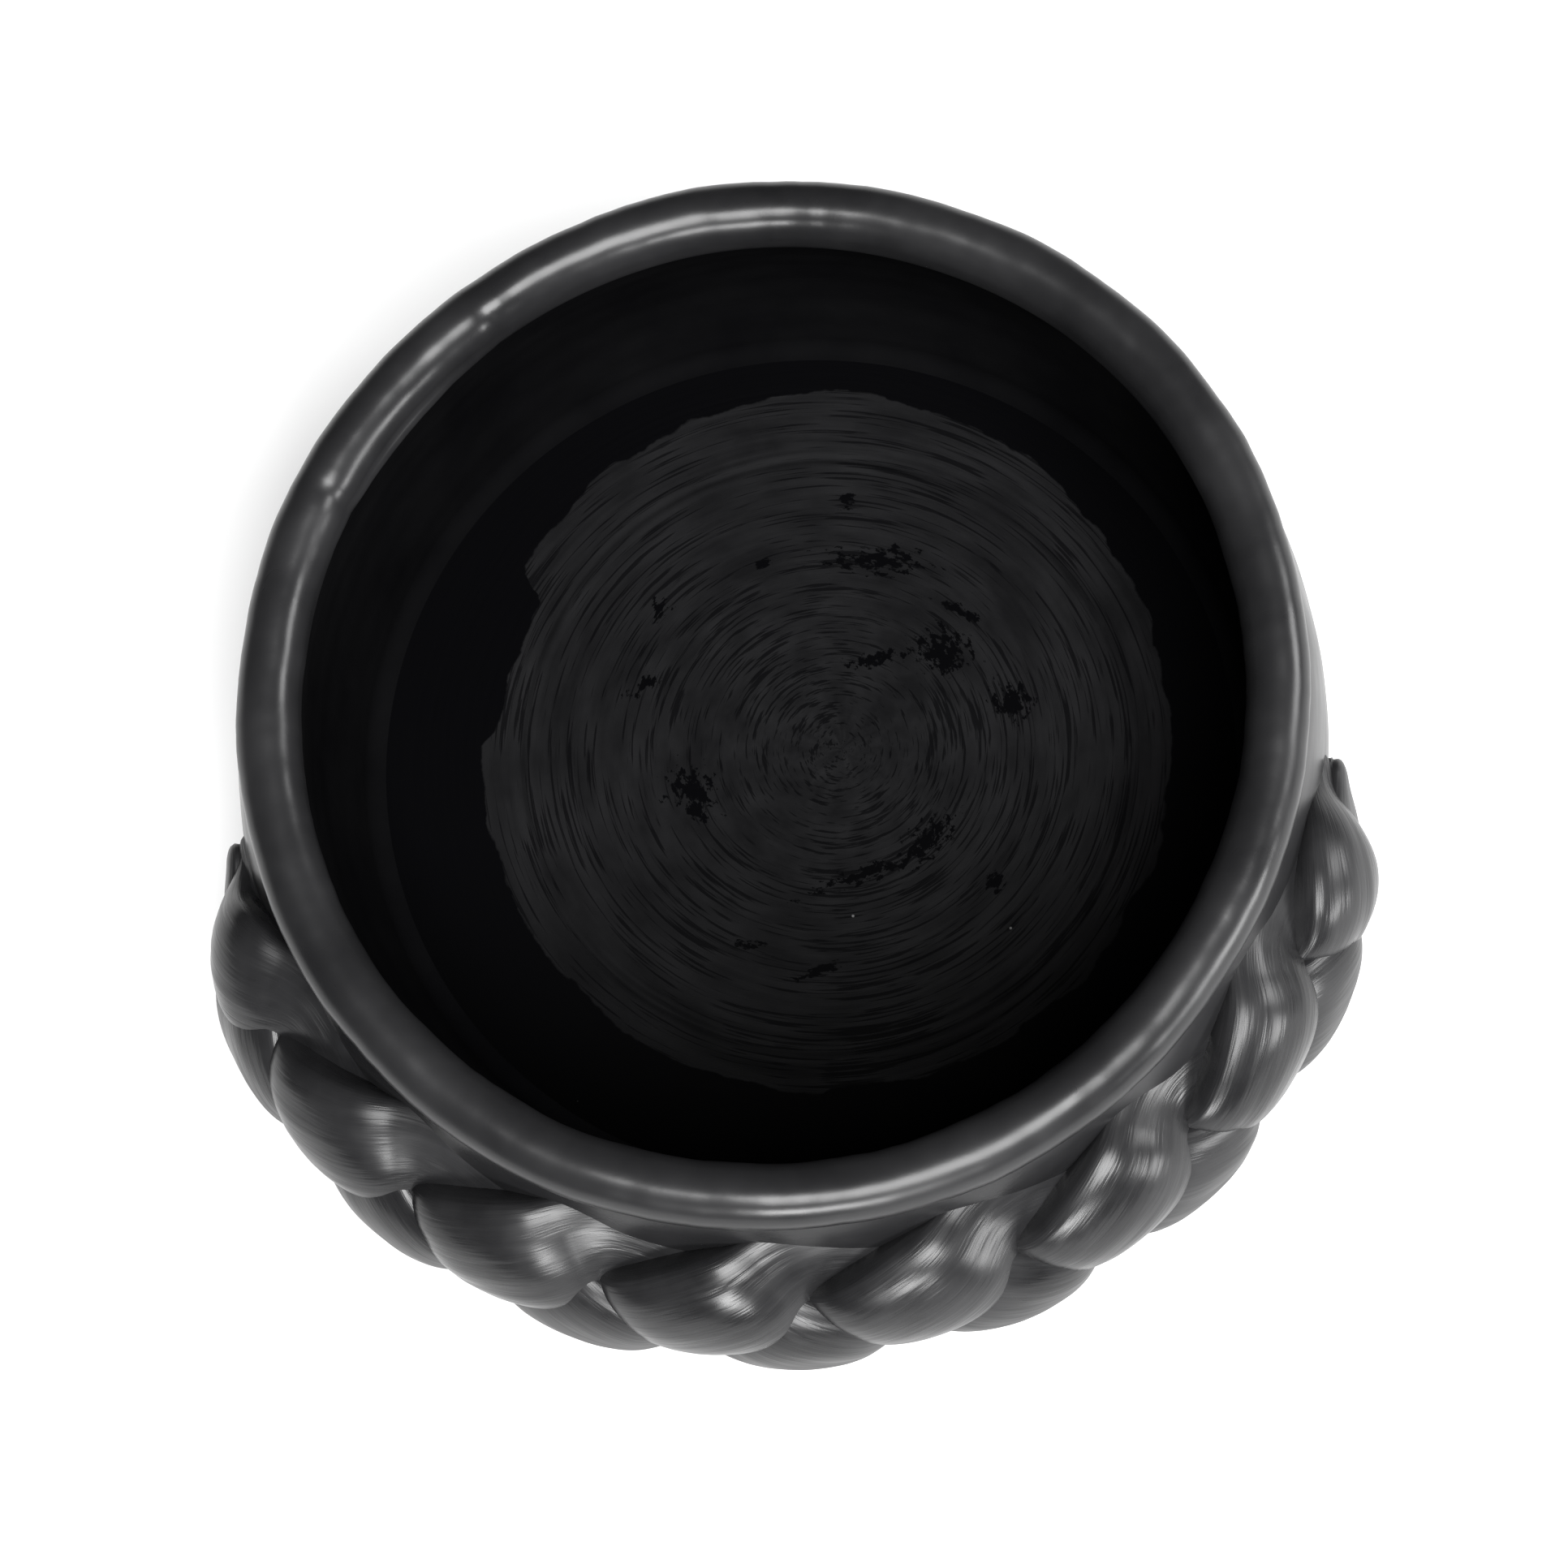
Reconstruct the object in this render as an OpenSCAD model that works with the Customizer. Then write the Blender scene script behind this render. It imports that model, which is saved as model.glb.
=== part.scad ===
// Low wide pot of black clay with a rolled lip and a three-strap plait luted round the front.
// Origin at the centre of the underside, +Z up, the plait faces -Y. Millimetres.

/* [Rim] */
// Radius of the lip's outermost edge
lip_r = 58; // [44:0.5:72]
// Width of the rolled lip, from its outside to its inside
lip_w = 6.8; // [5:0.1:9]
// Height of the rolled lip
lip_h = 6.4; // [5:0.1:8]

/* [Body] */
// Height of the whole pot, from the underside to the top of the lip
pot_h = 50; // [40:0.5:62]
// Distance that the belly stands out past the lip
belly_out = 4.4; // [2:0.1:6]
// Distance from the top of the lip down to the widest part of the belly
belly_drop = 27; // [20:0.5:29]
// Distance that the neck under the lip is set in from the lip's outside
neck_in = 1.4; // [0.8:0.1:2]
// Thickness of the wall at the belly
wall_t = 6.8; // [5.4:0.1:8.4]

/* [Floor] */
// Distance that the edge of the floor is set in from the lip's outside
floor_in = 5; // [4:0.1:6.4]
// Thickness of the slab that the wall stands round
slab_t = 7; // [5:0.1:9]
// Radius of the slab's rounded lower edge
slab_edge = 2.6; // [1:0.1:4]
// Distance from the edge of the floor in to the tool groove turned round it
groove_in = 15.9; // [6:0.1:24]
// Depth of that groove
groove_d = 0.5; // [0.2:0.1:1]

/* [Plait] */
// Width of one strap
strap_w = 12.8; // [10:0.2:16]
// Thickness of one strap
strap_t = 4.2; // [3:0.1:6]
// Angle round the pot that the plait covers
plait_arc = 164; // [140:4:240]
// Direction of the plait's middle, seen from above, where 270 is the front
plait_mid = 263; // [240:1:300]
// Distance along the belly from one upper lobe to the next
lobe_len = 21.8; // [16:0.1:27]
// Distance that a strap swings up and down from the plait's middle line
swing = 6; // [4:0.1:7]
// Distance from the top of the lip down to the plait's middle line
plait_drop = 20; // [18:0.5:25]
// Depth that the straps are pressed into the wall
luting = 0.5; // [0.2:0.1:1.2]
// Distance that the lower row of lobes stands out past the upper row
low_row_out = 1.4; // [0:0.1:3]
// Angle that the straps' faces lean up from level, halfway up the plait
face_lean = 22; // [0:1:35]
// Angle that the upper lobes lean up more than that, and the lower lobes less
lobe_lean = 24; // [0:1:35]

/* [Hidden] */
$fn = 96;
burnished = "#2b2b2c";
raw_clay = "#1a1a1b";
strap_clay = "#353536";
straps = 3;

// The lip is a coil with a flat underside, and the wall ends level with that flat.
// Inside the mouth the lip stands proud of the wall by bead_in
seat_z = pot_h - lip_h;
lip_mid_r = lip_r - lip_w / 2;
lip_in_r = lip_r - lip_w;
neck_r = lip_r - neck_in;
bead_in = 0.68;
seat_in_r = lip_in_r + bead_in;
round_share = 0.46;
lip_mid_z = seat_z + lip_h * round_share;

// The wall's outside runs from the slab's edge through the belly to the neck
slab_r = lip_r - floor_in;
groove_r = slab_r - groove_in;
belly_r = lip_r + belly_out;
belly_in_r = belly_r - wall_t;
belly_z = pot_h - belly_drop;
foot_z = slab_edge;
belly_power = 2.6;
profile_steps = 14;

// One strap goes through a whole swing while three lobes pass. Each end of the plait
// narrows over taper_arc to end_size of its full size
swing_arc = straps * lobe_len / belly_r * 180 / PI;
plait_start = plait_mid - plait_arc / 2;
plait_z = pot_h - plait_drop;
strap_sides = 14;
strap_steps = 84;
taper_arc = 16;
end_size = 0.3;
look_arc = 0.5;

// A strap's middle lies these shares of its thickness off the wall: on average, and
// more or less than that where it goes over or under. It goes over early by weave_lead
mean_off = 0.62;
weave_off = 0.3;
weave_lead = 30;

// Point of its swing at which the first strap starts, and the angle of that swing
// that the lean of the faces comes after it
first_turn = 324;
lean_lag = 12;

// Half a cosine wave from 0 to 1
function ease(t) = (1 - cos(180 * max(0, min(1, t)))) / 2;

// Outside radius of the wall at a height
function wall_r(z) =
    z < belly_z
    ? slab_r + (belly_r - slab_r) * sqrt(max(0, 1 - pow((belly_z - z) / (belly_z - foot_z), belly_power)))
    : belly_r + (neck_r - belly_r) * pow((z - belly_z) / (seat_z - belly_z), 2);

// Inside radius of the wall at a height, out from the floor to the belly and back in to the lip
function bore_r(z) =
    z < belly_z
    ? slab_r + (belly_in_r - slab_r) * sin(90 * (z - slab_t) / (belly_z - slab_t))
    : seat_in_r + (belly_in_r - seat_in_r) * cos(90 * (z - belly_z) / (seat_z - belly_z));

// Share of the strap's swing and size that is left near the plait's two ends
function end_share(a) =
    let (from_end = min(a - plait_start, plait_start + plait_arc - a))
    end_size + (1 - end_size) * ease(from_end / taper_arc);

// Place of a strap's middle line at an angle round the pot
function strap_mid(a, phase) =
    let (
        turn = 360 * (a - plait_start) / swing_arc + phase,
        share = end_share(a),
        z = plait_z + swing * share * sin(turn),
        off = strap_t * (mean_off + weave_off * sin(2 * turn + weave_lead)),
        r = wall_r(z) - luting + share * (off + low_row_out * (1 - sin(turn)) / 2)
    )
    [r * cos(a), r * sin(a), z];

// Ring of points round the strap at an angle, flattened across the wall
function strap_ring(a, phase) =
    let (
        here = strap_mid(a, phase),
        ahead = strap_mid(a + look_arc, phase) - strap_mid(a - look_arc, phase),
        along = ahead / norm(ahead),
        turn = 360 * (a - plait_start) / swing_arc + phase,
        lean = face_lean + lobe_lean * sin(turn - lean_lag),
        out_raw = [cos(a) * cos(lean), sin(a) * cos(lean), sin(lean)],
        out_flat = out_raw - along * (out_raw * along),
        out = out_flat / norm(out_flat),
        across = cross(along, out),
        share = end_share(a)
    )
    [for (i = [0 : strap_sides - 1])
        let (
            b = 360 * i / strap_sides,
            half_w = strap_w / 2 * share,
            half_t = strap_t / 2 * share
        )
        here + across * half_w * cos(b) + out * half_t * sin(b)];

module base_slab() {
    inner = slab_r - slab_edge;
    color(raw_clay)
        difference() {
            rotate_extrude()
                polygon(concat(
                    [[0, 0], [inner, 0]],
                    [for (i = [1 : 6]) [inner + slab_edge * sin(15 * i), slab_edge - slab_edge * cos(15 * i)]],
                    [[slab_r, slab_t], [0, slab_t]]
                ));
            translate([0, 0, slab_t])
                rotate_extrude()
                    translate([groove_r, 0])
                        circle(r = groove_d, $fn = 24);
        }
}

module wall() {
    outer_low = [for (i = [0 : profile_steps])
        let (z = foot_z + (belly_z - foot_z) * (1 - cos(90 * i / profile_steps)))
        [wall_r(z), z]];
    outer_high = [for (i = [1 : profile_steps])
        let (z = belly_z + (seat_z - belly_z) * i / profile_steps)
        [wall_r(z), z]];
    inner = [for (i = [profile_steps : -1 : 0])
        let (z = slab_t + (seat_z - slab_t) * i / profile_steps)
        [bore_r(z), z]];
    color(burnished)
        rotate_extrude()
            polygon(concat(outer_low, outer_high, inner));
}

module rim_coil() {
    top_h = pot_h - lip_mid_z;
    low_h = lip_mid_z - seat_z;
    outer_low = [for (i = [0 : 5])
        [neck_r + neck_in * sin(18 * i), lip_mid_z - low_h * cos(18 * i)]];
    top = [for (i = [0 : 20])
        [lip_mid_r + lip_w / 2 * cos(9 * i), lip_mid_z + top_h * sin(9 * i)]];
    inner_low = [for (i = [5 : -1 : 0])
        [seat_in_r + (lip_in_r - seat_in_r) * sin(18 * i), lip_mid_z - low_h * cos(18 * i)]];
    color(burnished)
        rotate_extrude()
            polygon(concat(outer_low, [for (i = [1 : 19]) top[i]], inner_low));
}

module strap(phase) {
    rings = [for (k = [0 : strap_steps])
        strap_ring(plait_start + plait_arc * k / strap_steps, phase)];
    points = [for (ring = rings) for (p = ring) p];
    sides = [for (k = [0 : strap_steps - 1]) for (i = [0 : strap_sides - 1])
        let (
            j = (i + 1) % strap_sides,
            low = k * strap_sides,
            high = low + strap_sides
        )
        [low + i, low + j, high + j, high + i]];
    first = [for (i = [strap_sides - 1 : -1 : 0]) i];
    last = [for (i = [0 : strap_sides - 1]) strap_steps * strap_sides + i];
    color(strap_clay)
        polyhedron(points, concat([first], sides, [last]), convexity = 8);
}

module plait_strap_a() { strap(first_turn); }
module plait_strap_b() { strap(first_turn + 360 / straps); }
module plait_strap_c() { strap(first_turn + 720 / straps); }

base_slab();
wall();
rim_coil();
plait_strap_a();
plait_strap_b();
plait_strap_c();
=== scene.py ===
import math

import bpy
from mathutils import Matrix, Vector, noise


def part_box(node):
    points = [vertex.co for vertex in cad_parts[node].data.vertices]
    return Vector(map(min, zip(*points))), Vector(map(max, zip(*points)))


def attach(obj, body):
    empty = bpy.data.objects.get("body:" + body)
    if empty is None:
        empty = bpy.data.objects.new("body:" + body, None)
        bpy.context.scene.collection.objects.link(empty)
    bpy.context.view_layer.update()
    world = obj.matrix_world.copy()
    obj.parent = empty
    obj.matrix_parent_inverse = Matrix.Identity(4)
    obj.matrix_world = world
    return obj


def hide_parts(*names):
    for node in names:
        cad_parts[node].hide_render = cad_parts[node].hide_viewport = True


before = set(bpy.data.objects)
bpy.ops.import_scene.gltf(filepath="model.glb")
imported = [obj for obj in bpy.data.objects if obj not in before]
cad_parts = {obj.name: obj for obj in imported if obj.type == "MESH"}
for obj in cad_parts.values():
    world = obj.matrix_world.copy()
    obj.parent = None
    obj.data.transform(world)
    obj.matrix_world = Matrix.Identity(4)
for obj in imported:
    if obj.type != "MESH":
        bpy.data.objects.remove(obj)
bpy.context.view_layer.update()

mm = 0.001  # the script thinks in millimetres, Blender's objects are in metres
fullTurn = 2 * math.pi
quarterTurn = math.pi / 2


def sizeOf(node):
    low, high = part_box(node)
    return low / mm, high / mm


slabHigh = sizeOf("base_slab")[1]
wallLow, wallHigh = sizeOf("wall")
lipHigh = sizeOf("rim_coil")[1]

pot = {
    "slabR": slabHigh.x,  # outside of the slab that everything stands on
    "slabT": slabHigh.z,  # height of the inside floor
    "slabEdge": wallLow.z,  # rounding of the slab's lower edge, where the wall starts
    "bellyR": wallHigh.x,  # widest radius of the wall
    "seatZ": wallHigh.z,  # top of the wall, where the lip sits
    "lipR": lipHigh.x,  # outside of the lip
    "potH": lipHigh.z,  # top of the lip
    "lipW": 6.8,  # width of the rolled lip
    "neckIn": 1.4,  # the neck is set in this far under the lip
    "beadIn": 0.68,  # the lip stands in past the wall by this much
    "roundShare": 0.46,  # height of the lip's widest level, as a share of the lip
    "bellyDrop": 27.0,  # top of the lip down to the belly
    "wallT": 6.8,  # thickness of the wall at the belly
    "bellyPower": 2.6,  # squareness of the wall's lower curve
}
bellyZ = pot["potH"] - pot["bellyDrop"]
lipMidR = pot["lipR"] - pot["lipW"] / 2
lipInR = pot["lipR"] - pot["lipW"]
neckR = pot["lipR"] - pot["neckIn"]
seatInR = lipInR + pot["beadIn"]
lipMidZ = pot["seatZ"] + (pot["potH"] - pot["seatZ"]) * pot["roundShare"]


def clamp(value, low=0.0, high=1.0):
    return max(low, min(high, value))


def ease(share):  # half a cosine wave from 0 to 1
    return (1 - math.cos(math.pi * clamp(share))) / 2


def bump(angle, middle, halfWidth):  # 1 at an angle, down to 0 halfWidth degrees away
    away = abs((angle - middle + 180) % 360 - 180)
    return ease(1 - away / halfWidth)


def roundNoise(angle, around, along):  # smooth noise that joins up after a full turn
    return noise.noise(Vector((math.cos(angle) * around, math.sin(angle) * around, along)))


def wallR(z):  # outside of the wall at a height
    foot = pot["slabEdge"]
    if z < bellyZ:
        depth = clamp((bellyZ - z) / (bellyZ - foot))
        return pot["slabR"] + (pot["bellyR"] - pot["slabR"]) * math.sqrt(1 - depth ** pot["bellyPower"])
    rise = (z - bellyZ) / (pot["seatZ"] - bellyZ)
    return pot["bellyR"] + (neckR - pot["bellyR"]) * rise ** 2


def boreR(z):  # inside of the wall at a height
    bellyIn = pot["bellyR"] - pot["wallT"]
    if z < bellyZ:
        rise = clamp((z - pot["slabT"]) / (bellyZ - pot["slabT"]))
        return pot["slabR"] + (bellyIn - pot["slabR"]) * math.sin(quarterTurn * rise)
    rise = (z - bellyZ) / (pot["seatZ"] - bellyZ)
    return seatInR + (bellyIn - seatInR) * math.cos(quarterTurn * rise)


view = {
    "place": (0.7, -91.2, 336.8),  # held over the front of the pot
    "target": (-0.5, -12.4, 49.9),  # a point on the lip's level
    "roll": 12,  # degrees that the camera is turned
    "lens": 65.2, "sensor": 36,
    "nearest": 10,  # nothing closer than this is drawn
}


def addCamera():
    place, target = Vector(view["place"]) * mm, Vector(view["target"]) * mm
    back = (place - target).normalized()
    right = Vector((0, 0, 1)).cross(back).normalized()
    up = back.cross(right)
    turn = math.radians(view["roll"])
    across = right * math.cos(turn) - up * math.sin(turn)
    upright = right * math.sin(turn) + up * math.cos(turn)
    bpy.ops.object.camera_add(location=place)
    camera = bpy.context.object
    camera.name = "potCamera"
    facing = Matrix((across, upright, back)).transposed().to_4x4()
    camera.matrix_world = Matrix.Translation(place) @ facing
    camera.data.lens = view["lens"]
    camera.data.sensor_width = view["sensor"]
    camera.data.clip_start = view["nearest"] * mm
    bpy.context.scene.camera = camera


lampAim = (0, 0, 40)  # all lamps face this point just inside the mouth, in mm
lamps = {  # name: place in mm, size in mm, power in watts
    "overheadSoftbox": ((90, -310, 815), (440, 440), 15.0),
    "rightSoftbox": ((767, 67, 399), (260, 260), 3.4),
    "lowRightSoftbox": ((720, -420, 230), (300, 200), 4.6),
    "frontSoftbox": ((-60, -767, 399), (260, 180), 6.0),
}


def addLamps():
    for name, (place, size, power) in lamps.items():
        bpy.ops.object.light_add(type="AREA", location=Vector(place) * mm)
        lamp = bpy.context.object
        lamp.name = name
        lamp.data.shape = "RECTANGLE"
        lamp.data.size, lamp.data.size_y = size[0] * mm, size[1] * mm
        lamp.data.energy = power
        lamp.rotation_euler = (Vector(place) - Vector(lampAim)).to_track_quat("Z", "Y").to_euler()


def hexColor(code):  # sRGB hex to the linear colour that the shader wants
    parts = [int(code[i:i + 2], 16) / 255 for i in (1, 3, 5)]
    return tuple(p / 12.92 if p <= 0.04045 else ((p + 0.055) / 1.055) ** 2.4 for p in parts) + (1.0,)


def addNode(tree, kind, inputs=None, out=0, **settings):
    # gives back the output that is used; a Mix node takes numbers at 2 and 3 and
    # gives one at 0, and it takes colours at 6 and 7 and gives one at 2
    node = tree.nodes.new("ShaderNode" + kind)
    for name, value in settings.items():
        setattr(node, name, value)
    for socket, value in (inputs or {}).items():
        if isinstance(value, bpy.types.NodeSocket):
            tree.links.new(value, node.inputs[socket])
        else:
            node.inputs[socket].default_value = value
    return node.outputs[out] if node.outputs else node


def newMaterial(name):
    material = bpy.data.materials.new(name)
    material.use_nodes = True
    material.node_tree.nodes.clear()
    return material, material.node_tree


opalAcrylic = {  # a sheet lit a little from within, white with hardly a shadow
    "color": "#c0c0c0", "glow": 0.30,
    "roughness": 0.9, "specular": 0.1,
}


def addBackdrop():
    world = bpy.data.worlds.new("whiteRoom")
    world.use_nodes = True
    sky = world.node_tree.nodes["Background"]
    sky.inputs["Color"].default_value = hexColor("#ffffff")
    sky.inputs["Strength"].default_value = 0.05
    bpy.context.scene.world = world
    bpy.context.scene.view_settings.view_transform = "Standard"
    bpy.ops.mesh.primitive_plane_add(size=6)
    floor = bpy.context.object
    floor.name = "paleFloor"
    material, tree = newMaterial("opalAcrylic")
    shader = addNode(tree, "BsdfPrincipled", {
        "Base Color": hexColor(opalAcrylic["color"]), "Roughness": opalAcrylic["roughness"],
        "Specular IOR Level": opalAcrylic["specular"],
        "Emission Color": hexColor("#ffffff"), "Emission Strength": opalAcrylic["glow"],
    })
    addNode(tree, "OutputMaterial", {"Surface": shader})
    floor.data.materials.append(material)


addCamera()
addLamps()
addBackdrop()
print("camera, lights and floor are in place")


def wrapCoords(tree, around, lineMm):
    # object coordinates turned so that a pattern runs round the pot: two axes
    # say where round it we are, the third is the height, one unit for two lines
    place = addNode(tree, "TexCoord", out="Object")
    flat = addNode(tree, "VectorMath", {0: place, 1: (1, 1, 0)}, operation="MULTIPLY")
    ring = addNode(tree, "VectorMath", {0: flat}, operation="NORMALIZE")
    wide = addNode(tree, "VectorMath", {0: ring, "Scale": around}, operation="SCALE")
    level = (0, 0, 1 / (lineMm * 2 * mm))
    high = addNode(tree, "VectorMath", {0: place, 1: level}, operation="MULTIPLY")
    return place, addNode(tree, "VectorMath", {0: wide, 1: high}, operation="ADD")


burnished = {  # black clay rubbed with a quartz pebble before the smoky firing: dark satin, soft gleam
    "dark": "#131314", "light": "#212122",
    "sheen": (0.24, 0.36),  # roughness of rubbed and of missed places
    "ior": 1.5, "specular": 0.3,
    "strokeMm": 1.1, "strokeBreaks": 5.0,  # height of a rubbing stroke, and its breaks round the pot
    "cloudMm": 16.0,  # size of the cloudy patches that the smoke leaves
    "gritMm": 0.5,
    "relief": 0.12,  # depth of the strokes in mm
}


def makeBurnishedClay():
    material, tree = newMaterial("burnishedBlackClay")
    place, wrapped = wrapCoords(tree, burnished["strokeBreaks"], burnished["strokeMm"])
    clouds = addNode(tree, "TexNoise", {
        "Vector": place, "Scale": 1 / (burnished["cloudMm"] * mm), "Detail": 4.0, "Roughness": 0.55})
    strokes = addNode(tree, "TexNoise", {"Vector": wrapped, "Scale": 1.0, "Detail": 2.0})
    grit = addNode(tree, "TexNoise", {
        "Vector": place, "Scale": 1 / (burnished["gritMm"] * mm), "Detail": 2.0})
    cloudy = addNode(tree, "MapRange", {"Value": clouds, "From Min": 0.3, "From Max": 0.7})
    tone = addNode(tree, "Mix", {
        0: cloudy, 6: hexColor(burnished["dark"]), 7: hexColor(burnished["light"])}, 2, data_type="RGBA")
    mixed = addNode(tree, "Mix", {0: 0.5, 2: strokes, 3: clouds})
    rubbed = addNode(tree, "MapRange", {
        "Value": mixed, "From Min": 0.35, "From Max": 0.65,
        "To Min": burnished["sheen"][0], "To Max": burnished["sheen"][1]})
    ridges = addNode(tree, "Math", {0: strokes, 1: 0.8}, operation="MULTIPLY")
    relief = addNode(tree, "Math", {0: grit, 1: 0.12, 2: ridges}, operation="MULTIPLY_ADD")
    bumps = addNode(tree, "Bump", {"Height": relief, "Strength": 0.35, "Distance": burnished["relief"] * mm})
    shader = addNode(tree, "BsdfPrincipled", {
        "Base Color": tone, "Roughness": rubbed, "Normal": bumps,
        "IOR": burnished["ior"], "Specular IOR Level": burnished["specular"]})
    addNode(tree, "OutputMaterial", {"Surface": shader})
    return material


sooty = {  # the inside was only wiped, so the smoke left it dull and nearly black
    "dark": "#050506", "light": "#0a0a0b",
    "roughness": 0.85, "ior": 1.5, "specular": 0.02,  # soot takes the gleam away
    "wipeMm": 0.8, "wipeBreaks": 2.5,  # height of a wiping line, and its breaks round the pot
    "cloudMm": 14.0, "gritMm": 0.45,
    "relief": 0.12,
}


def makeSootyClay():
    material, tree = newMaterial("sootyBlackClay")
    place, wrapped = wrapCoords(tree, sooty["wipeBreaks"], sooty["wipeMm"])
    clouds = addNode(tree, "TexNoise", {
        "Vector": place, "Scale": 1 / (sooty["cloudMm"] * mm), "Detail": 4.0, "Roughness": 0.55})
    lines = addNode(tree, "TexNoise", {"Vector": wrapped, "Scale": 1.0, "Detail": 2.0})
    grit = addNode(tree, "TexNoise", {
        "Vector": place, "Scale": 1 / (sooty["gritMm"] * mm), "Detail": 2.0})
    cloudy = addNode(tree, "MapRange", {"Value": clouds, "From Min": 0.3, "From Max": 0.7})
    tone = addNode(tree, "Mix", {
        0: cloudy, 6: hexColor(sooty["dark"]), 7: hexColor(sooty["light"])}, 2, data_type="RGBA")
    relief = addNode(tree, "Mix", {0: 0.3, 2: lines, 3: grit})
    bumps = addNode(tree, "Bump", {"Height": relief, "Strength": 0.4, "Distance": sooty["relief"] * mm})
    shader = addNode(tree, "BsdfPrincipled", {
        "Base Color": tone, "Roughness": sooty["roughness"], "Normal": bumps,
        "IOR": sooty["ior"], "Specular IOR Level": sooty["specular"]})
    addNode(tree, "OutputMaterial", {"Surface": shader})
    return material


strapFinish = {  # pulled between wet fingers, then rubbed on its high places: streaky gleam
    # the last of these colours is painted shade, laid on the lower row
    "dark": "#121213", "light": "#232324", "lowShade": "#0b0b0c",
    "sheen": (0.22, 0.38), "unrubbedMore": 0.3,  # roughness, and what the unrubbed part has more
    "shadeAndDullZ": (20, 31),  # the lower row gets painted shade on its colour and is left rougher, as the pebble hardly reached it: shade and roughness go from all at the first height to none at the second, in mm
    "ior": 1.5, "specular": 0.3,
    "streakMm": 0.9, "streakLengthMm": 14,  # spacing and length of the finger streaks
    "cloudMm": 9.0,
    "relief": 0.18,
}


def makeStrapClay(length, girth):
    material, tree = newMaterial("fingerPulledBlackClay")
    place = addNode(tree, "TexCoord", out="Object")
    lengthwise = addNode(tree, "Mapping", {
        "Vector": addNode(tree, "TexCoord", out="UV"),
        "Scale": (length / strapFinish["streakLengthMm"], girth / strapFinish["streakMm"], 1)})
    streaks = addNode(tree, "TexNoise", {
        "Vector": lengthwise, "Scale": 1.0, "Detail": 3.0, "Roughness": 0.6})
    clouds = addNode(tree, "TexNoise", {
        "Vector": place, "Scale": 1 / (strapFinish["cloudMm"] * mm), "Detail": 3.0})
    cloudy = addNode(tree, "MapRange", {"Value": clouds, "From Min": 0.3, "From Max": 0.7})
    tone = addNode(tree, "Mix", {
        0: cloudy, 6: hexColor(strapFinish["dark"]), 7: hexColor(strapFinish["light"])}, 2, data_type="RGBA")
    # painted shade: the lower row's colour is darkened towards the bottom, and the same mask makes it rougher
    level = addNode(tree, "SeparateXYZ", {0: place}, "Z")
    low, high = strapFinish["shadeAndDullZ"]
    shadeAndDull = addNode(tree, "MapRange", {
        "Value": level, "From Min": low * mm, "From Max": high * mm, "To Min": 1.0, "To Max": 0.0})
    paintedLowShade = addNode(tree, "Math", {0: shadeAndDull, 1: 0.8}, operation="MULTIPLY")
    lowShade = hexColor(strapFinish["lowShade"])
    tone = addNode(tree, "Mix", {0: paintedLowShade, 6: tone, 7: lowShade}, 2, data_type="RGBA")
    mixed = addNode(tree, "Mix", {0: 0.5, 2: streaks, 3: clouds})
    rubbed = addNode(tree, "MapRange", {
        "Value": mixed, "From Min": 0.35, "From Max": 0.65,
        "To Min": strapFinish["sheen"][0], "To Max": strapFinish["sheen"][1]})
    rough = addNode(tree, "Math", {
        0: shadeAndDull, 1: strapFinish["unrubbedMore"], 2: rubbed}, operation="MULTIPLY_ADD")
    bumps = addNode(tree, "Bump", {
        "Height": streaks, "Strength": 0.5, "Distance": strapFinish["relief"] * mm})
    shader = addNode(tree, "BsdfPrincipled", {
        "Base Color": tone, "Roughness": rough, "Normal": bumps,
        "IOR": strapFinish["ior"], "Specular IOR Level": strapFinish["specular"]})
    addNode(tree, "OutputMaterial", {"Surface": shader})
    return material


floorFinish = {  # matt fired clay with a thin grey smear of slip dragged round by a rib
    # the darkest colour here is painted shade for the front of the floor
    "bare": "#040405", "film": "#101011", "filmLight": "#1a1a1b", "frontShade": "#020202", "grain": "#6a6a6a",
    "roughness": (0.9, 0.6),  # of the bare clay and of the slip
    "ior": 1.45, "specular": 0.02,
    "lineMm": 0.34, "lineBreaks": 2.6,  # spacing of the rib's scratches, and their breaks round the floor
    "bandMm": 2.6, "bandBreaks": 3.0,  # broader bands, where the slip is thicker or thinner
    "raggedMm": 0.8, "raggedBreaks": 14.0,  # torn edges of the bare places
    "patchMm": 11.0, "edgeMm": 4.5, "gritMm": 0.45,
    "grainMm": 4.5, "grainR": (0.03, 0.05),  # spacing of pale grains, and their size as a share of it
    "frontShadeFrom": -34,  # painted shade of the front wall's shadow on the floor: thickest from here on, none at the middle, in mm
    "relief": 0.12,
}


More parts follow.
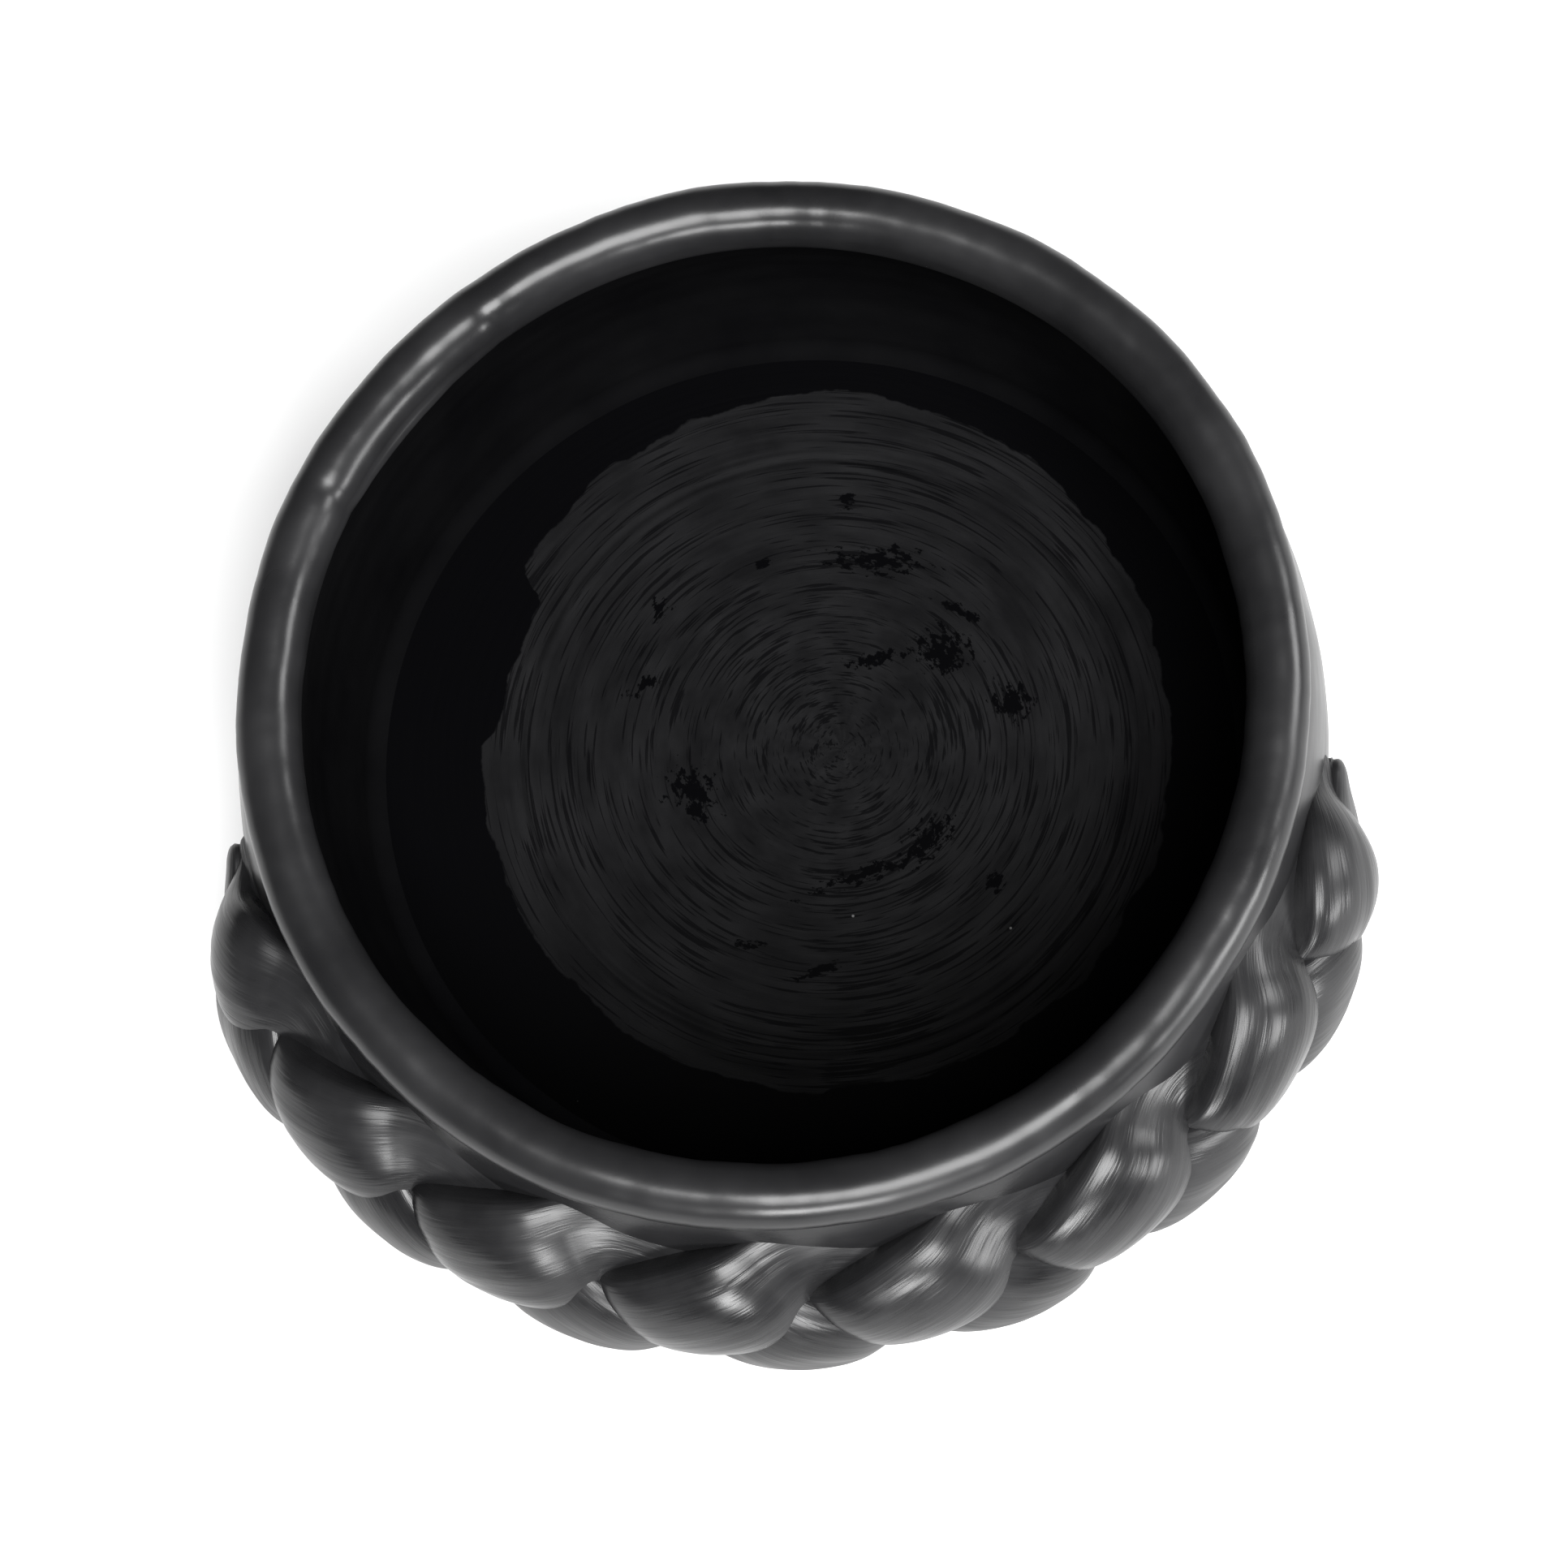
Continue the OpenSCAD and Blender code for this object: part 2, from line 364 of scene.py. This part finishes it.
def makeFloorClay():
    material, tree = newMaterial("slipSmearedBlackClay")
    place = addNode(tree, "TexCoord", out="Object")
    rings = addNode(tree, "TexCoord", out="UV")  # the floor laid flat round the lines' own centre
    ring = addNode(tree, "VectorMath", {0: rings}, operation="NORMALIZE")
    reach = addNode(tree, "VectorMath", {0: rings}, "Value", operation="LENGTH")

    def ringNoise(lineMm, breaks, detail, roughness):  # noise drawn out round the rings
        around = addNode(tree, "VectorMath", {0: ring, "Scale": breaks}, operation="SCALE")
        out = addNode(tree, "Math", {0: reach, 1: 1 / (lineMm * mm)}, operation="MULTIPLY")
        step = addNode(tree, "CombineXYZ", {"Z": out})
        where = addNode(tree, "VectorMath", {0: around, 1: step}, operation="ADD")
        return addNode(tree, "TexNoise", {
            "Vector": where, "Scale": 1.0, "Detail": detail, "Roughness": roughness})

    fine = ringNoise(floorFinish["lineMm"], floorFinish["lineBreaks"], 2.0, 0.6)
    bands = ringNoise(floorFinish["bandMm"], floorFinish["bandBreaks"], 2.0, 0.5)
    ragged = ringNoise(floorFinish["raggedMm"], floorFinish["raggedBreaks"], 4.0, 0.65)
    patches = addNode(tree, "TexNoise", {
        "Vector": place, "Scale": 1 / (floorFinish["patchMm"] * mm), "Detail": 4.0, "Roughness": 0.6})
    grit = addNode(tree, "TexNoise", {
        "Vector": place, "Scale": 1 / (floorFinish["gritMm"] * mm), "Detail": 2.0})
    frayed = addNode(tree, "TexNoise", {
        "Vector": place, "Scale": 1 / (floorFinish["edgeMm"] * mm), "Detail": 4.0})

    # where the slip ends, in mm, and where it is torn or scratched away
    edge = addNode(tree, "Attribute", out="Fac", attribute_name="filmEdge")
    bare = addNode(tree, "Attribute", out="Fac", attribute_name="bareSpot")
    shift = addNode(tree, "MapRange", {
        "Value": frayed, "From Min": 0.3, "From Max": 0.7, "To Min": -0.5, "To Max": 0.5})
    frayedEdge = addNode(tree, "Math", {0: edge, 1: shift}, operation="ADD")
    film = addNode(tree, "MapRange", {"Value": frayedEdge, "From Min": -0.12, "From Max": 0.12})
    torn = addNode(tree, "MapRange", {
        "Value": ragged, "From Min": 0.3, "From Max": 0.7, "To Min": -1.3, "To Max": 1.5})
    tornSpot = addNode(tree, "Math", {0: bare, 1: torn}, operation="ADD")
    gaps = addNode(tree, "MapRange", {"Value": tornSpot, "From Min": -0.1, "From Max": 0.25})
    uneven = addNode(tree, "Math", {0: patches, 1: 0.5, 2: fine}, operation="MULTIPLY_ADD")
    scratches = addNode(tree, "MapRange", {"Value": uneven, "From Min": 0.81, "From Max": 0.88})
    faint = addNode(tree, "Math", {0: scratches, 1: 0.75}, operation="MULTIPLY")
    missing = addNode(tree, "Math", {0: gaps, 1: faint}, operation="MAXIMUM")
    left = addNode(tree, "Math", {0: 1.0, 1: missing}, operation="SUBTRACT")
    kept = addNode(tree, "Math", {0: film, 1: left}, operation="MULTIPLY")

    banded = addNode(tree, "MapRange", {
        "Value": addNode(tree, "Mix", {0: 0.5, 2: bands, 3: patches}), "From Min": 0.38, "From Max": 0.62})
    thin, thick = hexColor(floorFinish["film"]), hexColor(floorFinish["filmLight"])
    slip = addNode(tree, "Mix", {0: banded, 6: thin, 7: thick}, 2, data_type="RGBA")
    tone = addNode(tree, "Mix", {0: kept, 6: hexColor(floorFinish["bare"]), 7: slip}, 2, data_type="RGBA")

    # a few pale grains: the cells' own colour says which of them hold one
    away = addNode(tree, "TexVoronoi", {
        "Vector": place, "Scale": 1 / (floorFinish["grainMm"] * mm)}, "Distance")
    cell = addNode(tree, "SeparateColor", {"Color": away.node.outputs["Color"]})
    small, large = floorFinish["grainR"]
    dot = addNode(tree, "MapRange", {
        "Value": away, "From Min": small, "From Max": large, "To Min": 1.0, "To Max": 0.0})
    chosen = addNode(tree, "MapRange", {"Value": cell, "From Min": 0.93, "From Max": 0.94})
    grains = addNode(tree, "Math", {0: dot, 1: chosen}, operation="MULTIPLY")
    tone = addNode(tree, "Mix", {0: grains, 6: tone, 7: hexColor(floorFinish["grain"])}, 2, data_type="RGBA")

    # painted shade: the floor's colour darkens towards the front, where the front wall's shadow falls
    front = addNode(tree, "SeparateXYZ", {0: place}, "Y")
    paintedFrontShade = addNode(tree, "MapRange", {
        "Value": front, "From Min": floorFinish["frontShadeFrom"] * mm, "From Max": 0.0,
        "To Min": 0.75, "To Max": 0.0})
    tone = addNode(tree, "Mix", {0: paintedFrontShade, 6: tone, 7: hexColor(floorFinish["frontShade"])}, 2, data_type="RGBA")

    lines = addNode(tree, "Math", {0: fine, 1: 0.55}, operation="MULTIPLY")
    gritty = addNode(tree, "Math", {0: grit, 1: 0.2, 2: lines}, operation="MULTIPLY_ADD")
    relief = addNode(tree, "Math", {0: kept, 1: 0.5, 2: gritty}, operation="MULTIPLY_ADD")
    bumps = addNode(tree, "Bump", {"Height": relief, "Strength": 0.5, "Distance": floorFinish["relief"] * mm})
    dull, smooth = floorFinish["roughness"]
    rough = addNode(tree, "MapRange", {"Value": kept, "To Min": dull, "To Max": smooth})
    shader = addNode(tree, "BsdfPrincipled", {
        "Base Color": tone, "Roughness": rough, "Normal": bumps,
        "IOR": floorFinish["ior"], "Specular IOR Level": floorFinish["specular"]})
    addNode(tree, "OutputMaterial", {"Surface": shader})
    return material


burnishedClay = makeBurnishedClay()
sootyClay = makeSootyClay()
floorClay = makeFloorClay()
print("finishes for wall, lip and floor are mixed")


def spinOutline(name, outline, turns):
    # an outline of (radius, height) points is drawn point by point and spun into a shell
    bpy.ops.object.select_all(action="DESELECT")
    bpy.ops.mesh.primitive_plane_add(size=mm)
    piece = bpy.context.object
    piece.name = name
    bpy.ops.object.mode_set(mode="EDIT")
    bpy.ops.mesh.select_all(action="SELECT")
    bpy.ops.mesh.merge(type="CENTER")
    here = outline[0]
    bpy.ops.transform.translate(value=(here[0] * mm, 0, here[1] * mm))
    for there in outline[1:]:
        step = ((there[0] - here[0]) * mm, 0, (there[1] - here[1]) * mm)
        bpy.ops.mesh.extrude_region_move(TRANSFORM_OT_translate={"value": step})
        here = there
    bpy.ops.mesh.select_all(action="SELECT")
    bpy.ops.mesh.spin(steps=turns, angle=fullTurn, center=(0, 0, 0), axis=(0, 0, 1))
    bpy.ops.mesh.select_all(action="SELECT")
    bpy.ops.mesh.remove_doubles(threshold=0.01 * mm)
    bpy.ops.mesh.normals_make_consistent(inside=False)
    bpy.ops.object.mode_set(mode="OBJECT")
    return piece


handmade = {
    "oval": 0.010, "ovalAt": 58,  # the mouth is 1% longer towards this angle
    "wobble": 0.35,  # slow unevenness of the lip's radius
    "wobbleHeight": 0.245,  # and of its height
    "lean": (2.8, 2.4),  # the inside floor lies this far off the mouth's middle
}


def leanAt(z):  # shift of the inside at a height: none underneath, most at the floor, none at the lip
    if z < pot["slabT"]:
        share = clamp((z - pot["slabEdge"]) / (pot["slabT"] - pot["slabEdge"]))
    else:
        share = math.cos(quarterTurn * clamp((z - pot["slabT"]) / (pot["seatZ"] - pot["slabT"])))
    return Vector((handmade["lean"][0], handmade["lean"][1], 0)) * share


def handShape(point):  # the potter's unevenness, the same for every piece, so that they stay joined
    x, y, z = point
    angle = math.atan2(y, x)
    rise = ease((z - pot["slabT"]) / (pot["seatZ"] - pot["slabT"]))
    swell = 1 + handmade["oval"] * math.cos(2 * (angle - math.radians(handmade["ovalAt"]))) * rise
    swell += handmade["wobble"] * roundNoise(angle, 1.6, 3.1) * rise / pot["lipR"]
    return Vector((x * swell, y * swell, z + handmade["wobbleHeight"] * roundNoise(angle, 2.6, 8.4) * rise))


def moveVertices(piece, rule):
    for vertex in piece.data.vertices:
        vertex.co = rule(vertex.co / mm) * mm


def finishPiece(piece, material, slot, *nodes):
    bpy.ops.object.select_all(action="DESELECT")
    piece.select_set(True)
    bpy.context.view_layer.objects.active = piece
    bpy.ops.object.shade_smooth_by_angle(angle=math.radians(50))
    piece.data.materials.clear()
    piece.data.materials.append(material)
    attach(piece, "root")
    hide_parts(*nodes)
    print(piece.name, "is made with", len(piece.data.polygons), "faces")


wallShape = {
    "turns": 360, "rows": 46, "filletRows": 8,
    "fillet": 2.2,  # smear of clay where the wall meets the floor
    "filletLift": 0.02,  # keeps the smear's thin edge just over the floor
    "ripple": 0.05, "rippleMm": 5.5,  # throwing ripples inside
    "facet": 0.10, "facets": 9, "facetMm": 7,  # the rubbing leaves soft flats outside
    "calmMm": 4,  # the unevenness fades this close to the slab and to the lip
}


def makeWall():
    low, high, floorZ = pot["slabEdge"], pot["seatZ"], pot["slabT"]
    rows, smear = wallShape["rows"], wallShape["fillet"]
    outside = [low + (bellyZ - low) * (1 - math.cos(quarterTurn * i / rows)) for i in range(rows + 1)]
    outside += [bellyZ + (high - bellyZ) * i / rows for i in range(1, rows + 1)]
    inside = [high - (high - floorZ - smear) * i / rows for i in range(rows + 1)]
    outline = [(wallR(z), z) for z in outside] + [(boreR(z), z) for z in inside]
    startR = boreR(floorZ + smear)
    for i in range(1, wallShape["filletRows"] + 1):  # quarter round from the wall out on to the floor
        turn = quarterTurn * i / wallShape["filletRows"]
        z = floorZ + smear * (1 - math.sin(turn)) + wallShape["filletLift"]
        outline.append((startR - smear * (1 - math.cos(turn)), z))
    outline += [(pot["slabR"], floorZ), (wallR(low), low)]
    piece = spinOutline("turnedWall", outline, wallShape["turns"])

    def middleR(z):  # halfway through the wall's thickness
        return (wallR(clamp(z, low, high)) + boreR(clamp(z, floorZ, high))) / 2

    def isInside(face):
        p = face.center / mm
        radius = math.hypot(p.x, p.y)
        if p.z < floorZ + 0.01:
            return radius < pot["slabR"] - 0.1
        return radius < middleR(p.z)

    innerFaces = [isInside(face) for face in piece.data.polygons]

    def unevenWall(p):
        radius, angle = math.hypot(p.x, p.y), math.atan2(p.y, p.x)
        out = Vector((math.cos(angle), math.sin(angle), 0))
        calm = ease((p.z - low) / wallShape["calmMm"]) * ease((high - p.z) / wallShape["calmMm"])
        if radius < middleR(p.z):
            spiral = p.z + wallShape["rippleMm"] * angle / fullTurn
            ripple = math.sin(fullTurn * spiral / wallShape["rippleMm"])
            p = p + out * wallShape["ripple"] * ripple * calm + leanAt(p.z)
        else:
            flat = roundNoise(angle, wallShape["facets"], p.z / wallShape["facetMm"])
            p = p + out * wallShape["facet"] * flat * calm
        return handShape(p)

    moveVertices(piece, unevenWall)
    finishPiece(piece, burnishedClay, "burnished_black_clay", "wall")
    piece.data.materials.append(sootyClay)
    for face, inner in zip(piece.data.polygons, innerFaces):
        face.material_index = int(inner)


makeWall()


slabShape = {
    "turns": 300, "edgeRows": 8,
    "ringStep": 0.17,  # spacing of the mesh rings over the tool lines
    "lineMm": 0.62, "lineDepth": 0.045, "lineBreaks": 3,  # the rib's lines
    "waveMm": 4, "waveDepth": 0.05, "waveBreaks": 1.5,  # slower waves under them
    "wander": 0.35, "wanderMm": 9,  # the rings aren't quite round
    "grooveR": 37.1, "grooveW": 1.1, "grooveD": 0.40,  # the deeper groove
    "grooveLines": ((0, 1.0), (-1.7, 0.45), (1.5, 0.30)),  # it and two fainter ones: place, share of depth
    "middle": (7.0, 2.2), "grooveMiddle": (5.0, 3.0),  # where the lines and the groove are centred
    "dish": 0.5,  # the floor rises a little to its middle
    "calmEdge": 6, "calmMiddle": 3,  # the lines fade this close to the wall and to the middle
}
filmShape = {
    "middle": (5.0, 3.0), "reach": 41.7,  # the slip smear and its radius
    "backSwell": 4.3, "backAt": 84, "backArc": 95,  # it reaches further at the back
    "notch": (139, 167), "notchReach": 39.5,  # on the left it stops short, near the groove
    "wander": 0.7, "wanderBreaks": 5,
}
bareSpots = [  # x, y, half length, half width in mm, and the angle of each bare place in the slip
    (15.4, 25.0, 4.2, 1.2, -12), (21.3, 12.0, 2.6, 2.0, -35), (28.4, 3.9, 1.9, 1.7, -80),
    (-11.6, 0.6, 2.6, 1.7, -55), (15.0, -10.8, 2.4, 1.4, 35), (7.5, -13.4, 5.0, 0.7, 8),
    (-0.5, -23.9, 2.1, 0.6, 5), (-9.0, -18.8, 1.6, 0.5, -20), (-11.5, 24.3, 0.9, 0.8, 40),
    (21.9, -17.4, 0.9, 0.8, 30), (2.0, 27.5, 0.8, 0.4, 0), (14.0, 33.5, 0.9, 0.7, 20),
    (13.5, 12.5, 2.4, 0.6, 0), (-15.0, 15.0, 1.6, 0.5, 20), (24.5, 16.5, 2.0, 0.6, -40),
]
spotReach = 14  # a bare place is not looked for further away than this, in mm


def ringMiddle(radius):  # the rings' centre moves with their radius, as the tool wandered
    inner, groove, outer = slabShape["middle"], slabShape["grooveMiddle"], handmade["lean"]
    if radius < slabShape["grooveR"]:
        first, second, share = inner, groove, radius / slabShape["grooveR"]
    else:
        first, second = groove, outer
        share = (radius - slabShape["grooveR"]) / (pot["slabR"] - slabShape["grooveR"])
    return Vector((first[0], first[1], 0)).lerp(Vector((second[0], second[1], 0)), share)


def filmReach(angle):  # radius of the slip smear at an angle in degrees
    swell = bump(angle, filmShape["backAt"], filmShape["backArc"])
    reach = filmShape["reach"] + filmShape["backSwell"] * swell
    start, end = filmShape["notch"]
    within = ease((angle - start + 2) / 4) * ease((end + 2 - angle) / 4)
    wander = filmShape["wander"] * roundNoise(math.radians(angle), filmShape["wanderBreaks"], 1.7)
    return reach + (filmShape["notchReach"] - reach) * within + wander


def bareness(p):  # 1 in the middle of a bare place, 0 on its edge, less outside
    most = -3.0
    for x, y, half, width, turn in bareSpots:
        if abs(p.x - x) + abs(p.y - y) < spotReach:
            c, s = math.cos(math.radians(turn)), math.sin(math.radians(turn))
            along, across = (p.x - x) * c + (p.y - y) * s, (p.y - y) * c - (p.x - x) * s
            most = max(most, 1 - math.hypot(along / half, across / width))
    return most


def makeFloor():
    edge, top, slabR = pot["slabEdge"], pot["slabT"], pot["slabR"]
    turns = [quarterTurn * i / slabShape["edgeRows"] for i in range(1, slabShape["edgeRows"] + 1)]
    rings = round(slabR / slabShape["ringStep"])
    outline = [(0, 0), (slabR - edge, 0)]
    outline += [(slabR - edge + edge * math.sin(a), edge - edge * math.cos(a)) for a in turns]
    outline += [(slabR, top - 0.6), (slabR, top)]
    outline += [(slabR * (1 - i / rings), top) for i in range(1, rings)]
    outline.append((0, top))
    piece = spinOutline("turnedFloor", outline, slabShape["turns"])

    mesh = piece.data
    rest = [vertex.co.copy() for vertex in mesh.vertices]
    for spare in list(mesh.uv_layers):
        mesh.uv_layers.remove(spare)
    layer = mesh.uv_layers.new(name="rings")
    for loop in mesh.loops:
        layer.data[loop.index].uv = rest[loop.vertex_index].xy

    def groovedFloor(p):
        radius, angle = math.hypot(p.x, p.y), math.atan2(p.y, p.x)
        if p.z < top - 0.01:
            return p + leanAt(p.z)
        spiral = radius + slabShape["wander"] * roundNoise(angle, 2, radius / slabShape["wanderMm"])
        lines = roundNoise(angle, slabShape["lineBreaks"], spiral / slabShape["lineMm"])
        waves = roundNoise(angle, slabShape["waveBreaks"], spiral / slabShape["waveMm"])
        fade = ease((slabR - radius) / slabShape["calmEdge"]) * ease(radius / slabShape["calmMiddle"])
        height = top + (slabShape["lineDepth"] * lines + slabShape["waveDepth"] * waves) * fade
        height += slabShape["dish"] * ease(1 - radius / slabShape["grooveR"])
        for away, depth in slabShape["grooveLines"]:
            cut = (spiral - slabShape["grooveR"] - away) / (slabShape["grooveW"] / 2)
            strength = 0.65 + 0.7 * roundNoise(angle, 2.2, 5 + away)
            height -= slabShape["grooveD"] * depth * strength * math.exp(-cut * cut)
        flat = p + ringMiddle(radius)
        return Vector((flat.x, flat.y, height))

    moveVertices(piece, groovedFloor)

    edgeField = mesh.attributes.new("filmEdge", "FLOAT", "POINT")
    bareField = mesh.attributes.new("bareSpot", "FLOAT", "POINT")
    for vertex in mesh.vertices:
        p = vertex.co / mm
        dx, dy = p.x - filmShape["middle"][0], p.y - filmShape["middle"][1]
        angle = math.degrees(math.atan2(dy, dx)) % 360
        edgeField.data[vertex.index].value = filmReach(angle) - math.hypot(dx, dy)
        bareField.data[vertex.index].value = bareness(p)
    finishPiece(piece, floorClay, "matte_black_clay", "base_slab")


makeFloor()


lipShape = {
    "turns": 400, "topRows": 40, "lowRows": 9,
    "dents": 0.22, "slowDents": 7, "quickDents": 26,  # finger unevenness along the roll
    "seamAt": 132, "seamArc": 22, "seamOut": 0.7,  # the coil's open seam, inside at the back left
    "nicks": ((145, 0.35, 2.0), (116, 0.25, 1.6)),  # angle, depth and half width in degrees
}


def makeLip():
    topH, lowH = pot["potH"] - lipMidZ, lipMidZ - pot["seatZ"]
    half, lowRows, topRows = pot["lipW"] / 2, lipShape["lowRows"], lipShape["topRows"]
    low = [quarterTurn * i / lowRows for i in range(lowRows)]
    over = [math.pi * i / topRows for i in range(topRows + 1)]
    outline = [(neckR + pot["neckIn"] * math.sin(a), lipMidZ - lowH * math.cos(a)) for a in low]
    outline += [(lipMidR + half * math.cos(a), lipMidZ + topH * math.sin(a)) for a in over]
    outline += [(seatInR - pot["beadIn"] * math.sin(a), lipMidZ - lowH * math.cos(a)) for a in reversed(low)]
    outline.append(outline[0])
    piece = spinOutline("rolledLip", outline, lipShape["turns"])

    def rolled(p):
        radius, angle = math.hypot(p.x, p.y), math.atan2(p.y, p.x)
        degrees = math.degrees(angle)
        out = Vector((math.cos(angle), math.sin(angle), 0))
        side = (radius - lipMidR) / half  # 1 on the outside of the roll, -1 on the inside
        free = ease((p.z - pot["seatZ"]) / 1.5)  # the seat on the wall stays as it is
        slow = roundNoise(angle, lipShape["slowDents"], side * 0.6)
        quick = roundNoise(angle, lipShape["quickDents"], side * 0.9 + 4)
        dent = lipShape["dents"] * (slow + 0.35 * quick) * free
        p = p + out * dent * side + Vector((0, 0, dent * 0.8 * (1 - side * side)))
        inward = out * side * 0.6 + Vector((0, 0, 0.8))
        for at, depth, arc in lipShape["nicks"]:
            p = p - inward * depth * bump(degrees, at, arc) * free * ease(0.6 - side)
        if side < -0.8 and p.z < lipMidZ:
            opened = lipShape["seamOut"] * bump(degrees, lipShape["seamAt"], lipShape["seamArc"])
            p = p - out * opened * free * ease(lipMidZ - p.z) * ease((p.z - pot["seatZ"]) / 1.2)
        return handShape(p)

    moveVertices(piece, rolled)
    finishPiece(piece, burnishedClay, "burnished_black_clay", "rim_coil")


makeLip()


plait = {
    "width": 12.8, "thick": 4.2,  # one strap
    "arc": 164, "middle": 263,  # what it covers round the pot, in degrees
    "lobe": 21.8, "swing": 6.0,  # one lobe's length, and the swing up and down
    "drop": 20.0,  # top of the lip down to the plait's middle line
    "luting": 0.5,  # how deep the straps are pressed in
    "faceLean": 22, "lobeLean": 24,  # degrees that the faces lean up
    "leanLag": 12,  # the lean comes this much of a swing after the height
    "firstTurn": 324,  # point of its swing where the first strap starts
    "lowRowOut": 1.4,  # the lower row of lobes stands out past the upper one
    "meanOff": 0.55, "weaveOff": 0.5, "weaveLead": 30,  # how a strap goes over and under
    "dive": 1.4,  # how quickly it dives from over to under
    "leftMore": 0.8, "leftAt": 212, "leftArc": 30,  # the plait is fuller near its left end
    "taperArc": 16, "endSize": 0.3, "tipArc": 2.0,  # the ends narrow and close in a round tip
    "leaf": 0.14, "leafUneven": 0.10,  # a strap swells between two crossings and narrows at them
    "squash": 0.4,  # a strap is pressed thin where it passes under
    "backing": 2.2,  # clay pressed in behind a lobe that stands off the wall
    "puff": 0.6,  # the outer face swells where a strap lies over
    "edgePower": 1.15,  # a lens with crisp edges
    "crease": 0.16,  # depth of the lengthwise finger creases
    "steps": 560, "sides": 56,
}
plaitStart = plait["middle"] - plait["arc"] / 2
plaitZ = pot["potH"] - plait["drop"]
swingArc = 3 * plait["lobe"] / pot["bellyR"] * 180 / math.pi


def endShare(angle):
    fromEnd = min(angle - plaitStart, plaitStart + plait["arc"] - angle)
    return plait["endSize"] + (1 - plait["endSize"]) * ease(fromEnd / plait["taperArc"])


def strapTurn(angle, phase):
    return math.radians(360 * (angle - plaitStart) / swingArc + phase)


def overUnder(turn):  # 1 where a strap lies over its neighbours, -1 where it is under them
    wave = math.sin(2 * turn + math.radians(plait["weaveLead"]))
    return math.tanh(plait["dive"] * wave) / math.tanh(plait["dive"])


def strapMiddle(angle, phase):
    turn, share = strapTurn(angle, phase), endShare(angle)
    z = plaitZ + plait["swing"] * share * math.sin(turn)
    off = plait["thick"] * (plait["meanOff"] + plait["weaveOff"] * overUnder(turn))
    r = wallR(z) - plait["luting"] + share * (off + plait["lowRowOut"] * (1 - math.sin(turn)) / 2)
    r += plait["leftMore"] * bump(angle, plait["leftAt"], plait["leftArc"])
    a = math.radians(angle)
    return Vector((r * math.cos(a), r * math.sin(a), z))


def strapPoint(along, around, phase, seed):
    angle = plaitStart + plait["arc"] * along
    here = strapMiddle(angle, phase)
    forward = (strapMiddle(angle + 0.5, phase) - strapMiddle(angle - 0.5, phase)).normalized()
    turn, share = strapTurn(angle, phase), endShare(angle)
    lag = math.radians(plait["leanLag"])
    lean = math.radians(plait["faceLean"] + plait["lobeLean"] * math.sin(turn - lag))
    a = math.radians(angle)
    out = Vector((math.cos(a) * math.cos(lean), math.sin(a) * math.cos(lean), math.sin(lean)))
    out = (out - forward * out.dot(forward)).normalized()
    across = forward.cross(out)

    over = overUnder(turn)
    b = fullTurn * around
    side, face = math.cos(b), math.sin(b)
    leaf = 1 + plait["leaf"] * over + plait["leafUneven"] * noise.noise(Vector((along * 9, seed, 0)))
    puff = 1 + plait["puff"] * max(0.0, over)
    back = 1 + plait["backing"] * ease((over + 1) / 2)
    squashed = 1 + plait["squash"] * min(0.0, over)
    halfW = plait["width"] / 2 * share * leaf
    halfT = plait["thick"] / 2 * share * squashed * (puff if face > 0 else back)
    face = math.copysign(abs(face) ** plait["edgePower"], face)
    tip = min(along, 1 - along) * plait["arc"]
    cap = math.sqrt(1 - (1 - clamp(tip / plait["tipArc"])) ** 2)
    crease = noise.noise(Vector((along * 22, side * 2.6 + 7 * seed, face * 0.8)))
    fine = noise.noise(Vector((along * 40, side * 7 + 3 * seed, face * 2)))
    depth = plait["crease"] * (crease + 0.4 * fine) * share
    return here + (across * halfW * side + out * (halfT * face + depth * max(face, 0.0))) * cap


def makeStrap(node, phase, seed):
    bpy.ops.object.select_all(action="DESELECT")
    bpy.ops.mesh.primitive_grid_add(x_subdivisions=plait["steps"], y_subdivisions=plait["sides"], size=1)
    piece = bpy.context.object
    piece.name = node.replace("plait_", "pulled_")
    for vertex in piece.data.vertices:
        point = strapPoint(vertex.co.x + 0.5, vertex.co.y + 0.5, phase, seed)
        vertex.co = handShape(point) * mm
    bpy.ops.object.mode_set(mode="EDIT")
    bpy.ops.mesh.select_all(action="SELECT")
    bpy.ops.mesh.remove_doubles(threshold=0.005 * mm)
    bpy.ops.mesh.normals_make_consistent(inside=False)
    bpy.ops.object.mode_set(mode="OBJECT")
    finishPiece(piece, strapClay, "strap_black_clay", node)


strapLength = math.radians(plait["arc"]) * pot["bellyR"] * 1.2  # the swing makes a strap a fifth longer
strapGirth = plait["width"] * 2.3
strapClay = makeStrapClay(strapLength, strapGirth)
for number, letter in enumerate("abc"):
    makeStrap("plait_strap_" + letter, plait["firstTurn"] + 120 * number, 1.3 + number)
